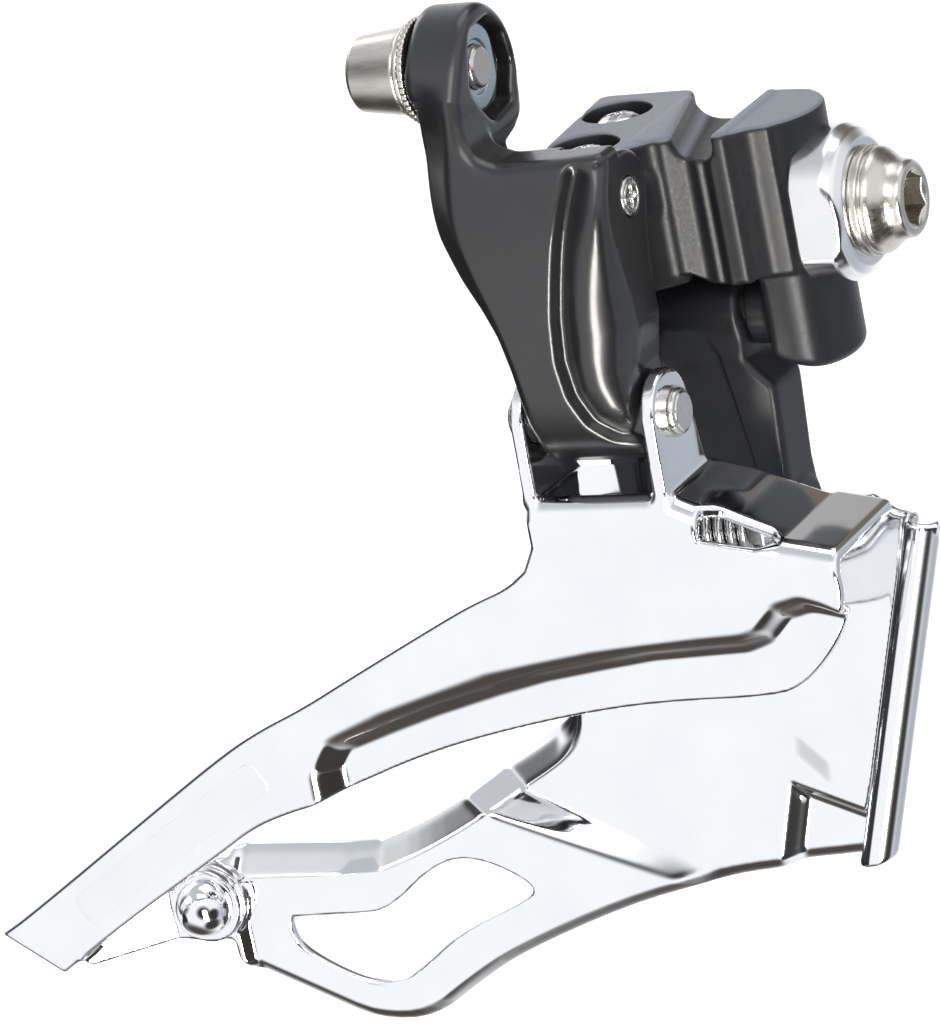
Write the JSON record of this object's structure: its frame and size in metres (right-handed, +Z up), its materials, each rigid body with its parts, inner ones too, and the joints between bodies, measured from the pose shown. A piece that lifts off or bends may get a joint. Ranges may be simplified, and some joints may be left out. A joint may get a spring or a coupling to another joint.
{
  "type": "front derailleur",
  "caption": "Road front derailleur for a braze-on hanger: seat bracket, two black links in a parallelogram and a chromed chain cage with a slotted inner plate.",
  "frame": {"origin": "crest of the bracket's curved hanger seat, on the axis of the frame bolt", "axes": "+X forward, along the frame bolt and all the pivots; +Y inboard, towards the bicycle's seat tube; +Z up, along the seat tube. The outer cage plate is on the -Y side and the cage's tail points to -X"},
  "size_m": [0.1091, 0.0345, 0.11],
  "materials": {
    "gloss_black": "gloss black paint over cast aluminium",
    "black_cast": "satin black anodised cast aluminium",
    "chrome_cage": "polished chrome-plated steel sheet",
    "polished_aluminium": "polished, with turned faces",
    "satin_nickel": "satin nickel plate",
    "zinc_plate": "bluish zinc plate",
    "pin_steel": "ground steel, nickel plated",
    "screw_steel": "bright zinc plate",
    "spring_steel": "bare spring wire",
    "bush": "dark bearing plastic",
    "sleeve": "natural acetal",
    "label": "silver film with a clear satin face"
  },
  "bodies": {
    "bracket": {"bracket_body": "black_cast", "radius_washer": "polished_aluminium", "frame_bolt": "satin_nickel", "outer_link_upper_bush": "bush", "inner_link_upper_pin": "pin_steel"},
    "low_limit": {"low_limit_screw": "screw_steel"},
    "high_limit": {"high_limit_screw": "screw_steel"},
    "outer_link": {"outer_link": "gloss_black", "outer_link_upper_pin": "pin_steel", "outer_link_lower_bushes": "bush", "cable_clamp_bolt": "satin_nickel", "cable_clamp_washer": "satin_nickel", "cable_clamp_nut": "zinc_plate"},
    "inner_link": {"inner_link": "black_cast", "inner_link_upper_bushes": "bush", "inner_link_lower_bushes": "bush"},
    "cage": {"outer_cage_plate": "chrome_cage", "inner_cage_plate": "chrome_cage", "cage_label": "label", "outer_link_lower_pin": "pin_steel", "outer_link_lower_rings": "pin_steel", "inner_link_lower_pin": "pin_steel", "spring_sleeve": "sleeve", "return_spring": "spring_steel", "tail_rivet": "chrome_cage"}
  },
  "joints": [
    {"name": "outer_link_pivot", "type": "hinge", "parent": "bracket", "child": "outer_link", "pos_m": [-0.0204, -0.018, 0.0075], "axis": [-1, 0, 0], "range_deg": [0, 33], "stiffness_Nm_per_rad": 0.8, "springref_deg": -22.92, "deforming": ["return_spring"]},
    {"name": "cage_pivot", "type": "hinge", "parent": "outer_link", "child": "cage", "pos_m": [-0.02, -0.0197, -0.0145], "axis": [-1, 0, 0], "range_deg": [-33, 0]},
    {"name": "inner_link_pivot", "type": "hinge", "parent": "bracket", "child": "inner_link", "pos_m": [-0.0184, -0.002, -0.01], "axis": [-1, 0, 0], "range_deg": [0, 33]},
    {"name": "low_limit_turn", "type": "hinge", "parent": "bracket", "child": "low_limit", "pos_m": [-0.0227, 0.0019, 0.0068], "axis": [0, 0, 1], "range_deg": [-360, 360]},
    {"name": "high_limit_turn", "type": "hinge", "parent": "bracket", "child": "high_limit", "pos_m": [-0.0215, -0.009, 0.0068], "axis": [0, 0, 1], "range_deg": [-360, 360]}
  ],
  "couplings": [
    {"joint": "cage_pivot", "follows": "outer_link_pivot", "ratio": -1},
    {"joint": "inner_link_pivot", "follows": "outer_link_pivot", "ratio": 1}
  ]
}
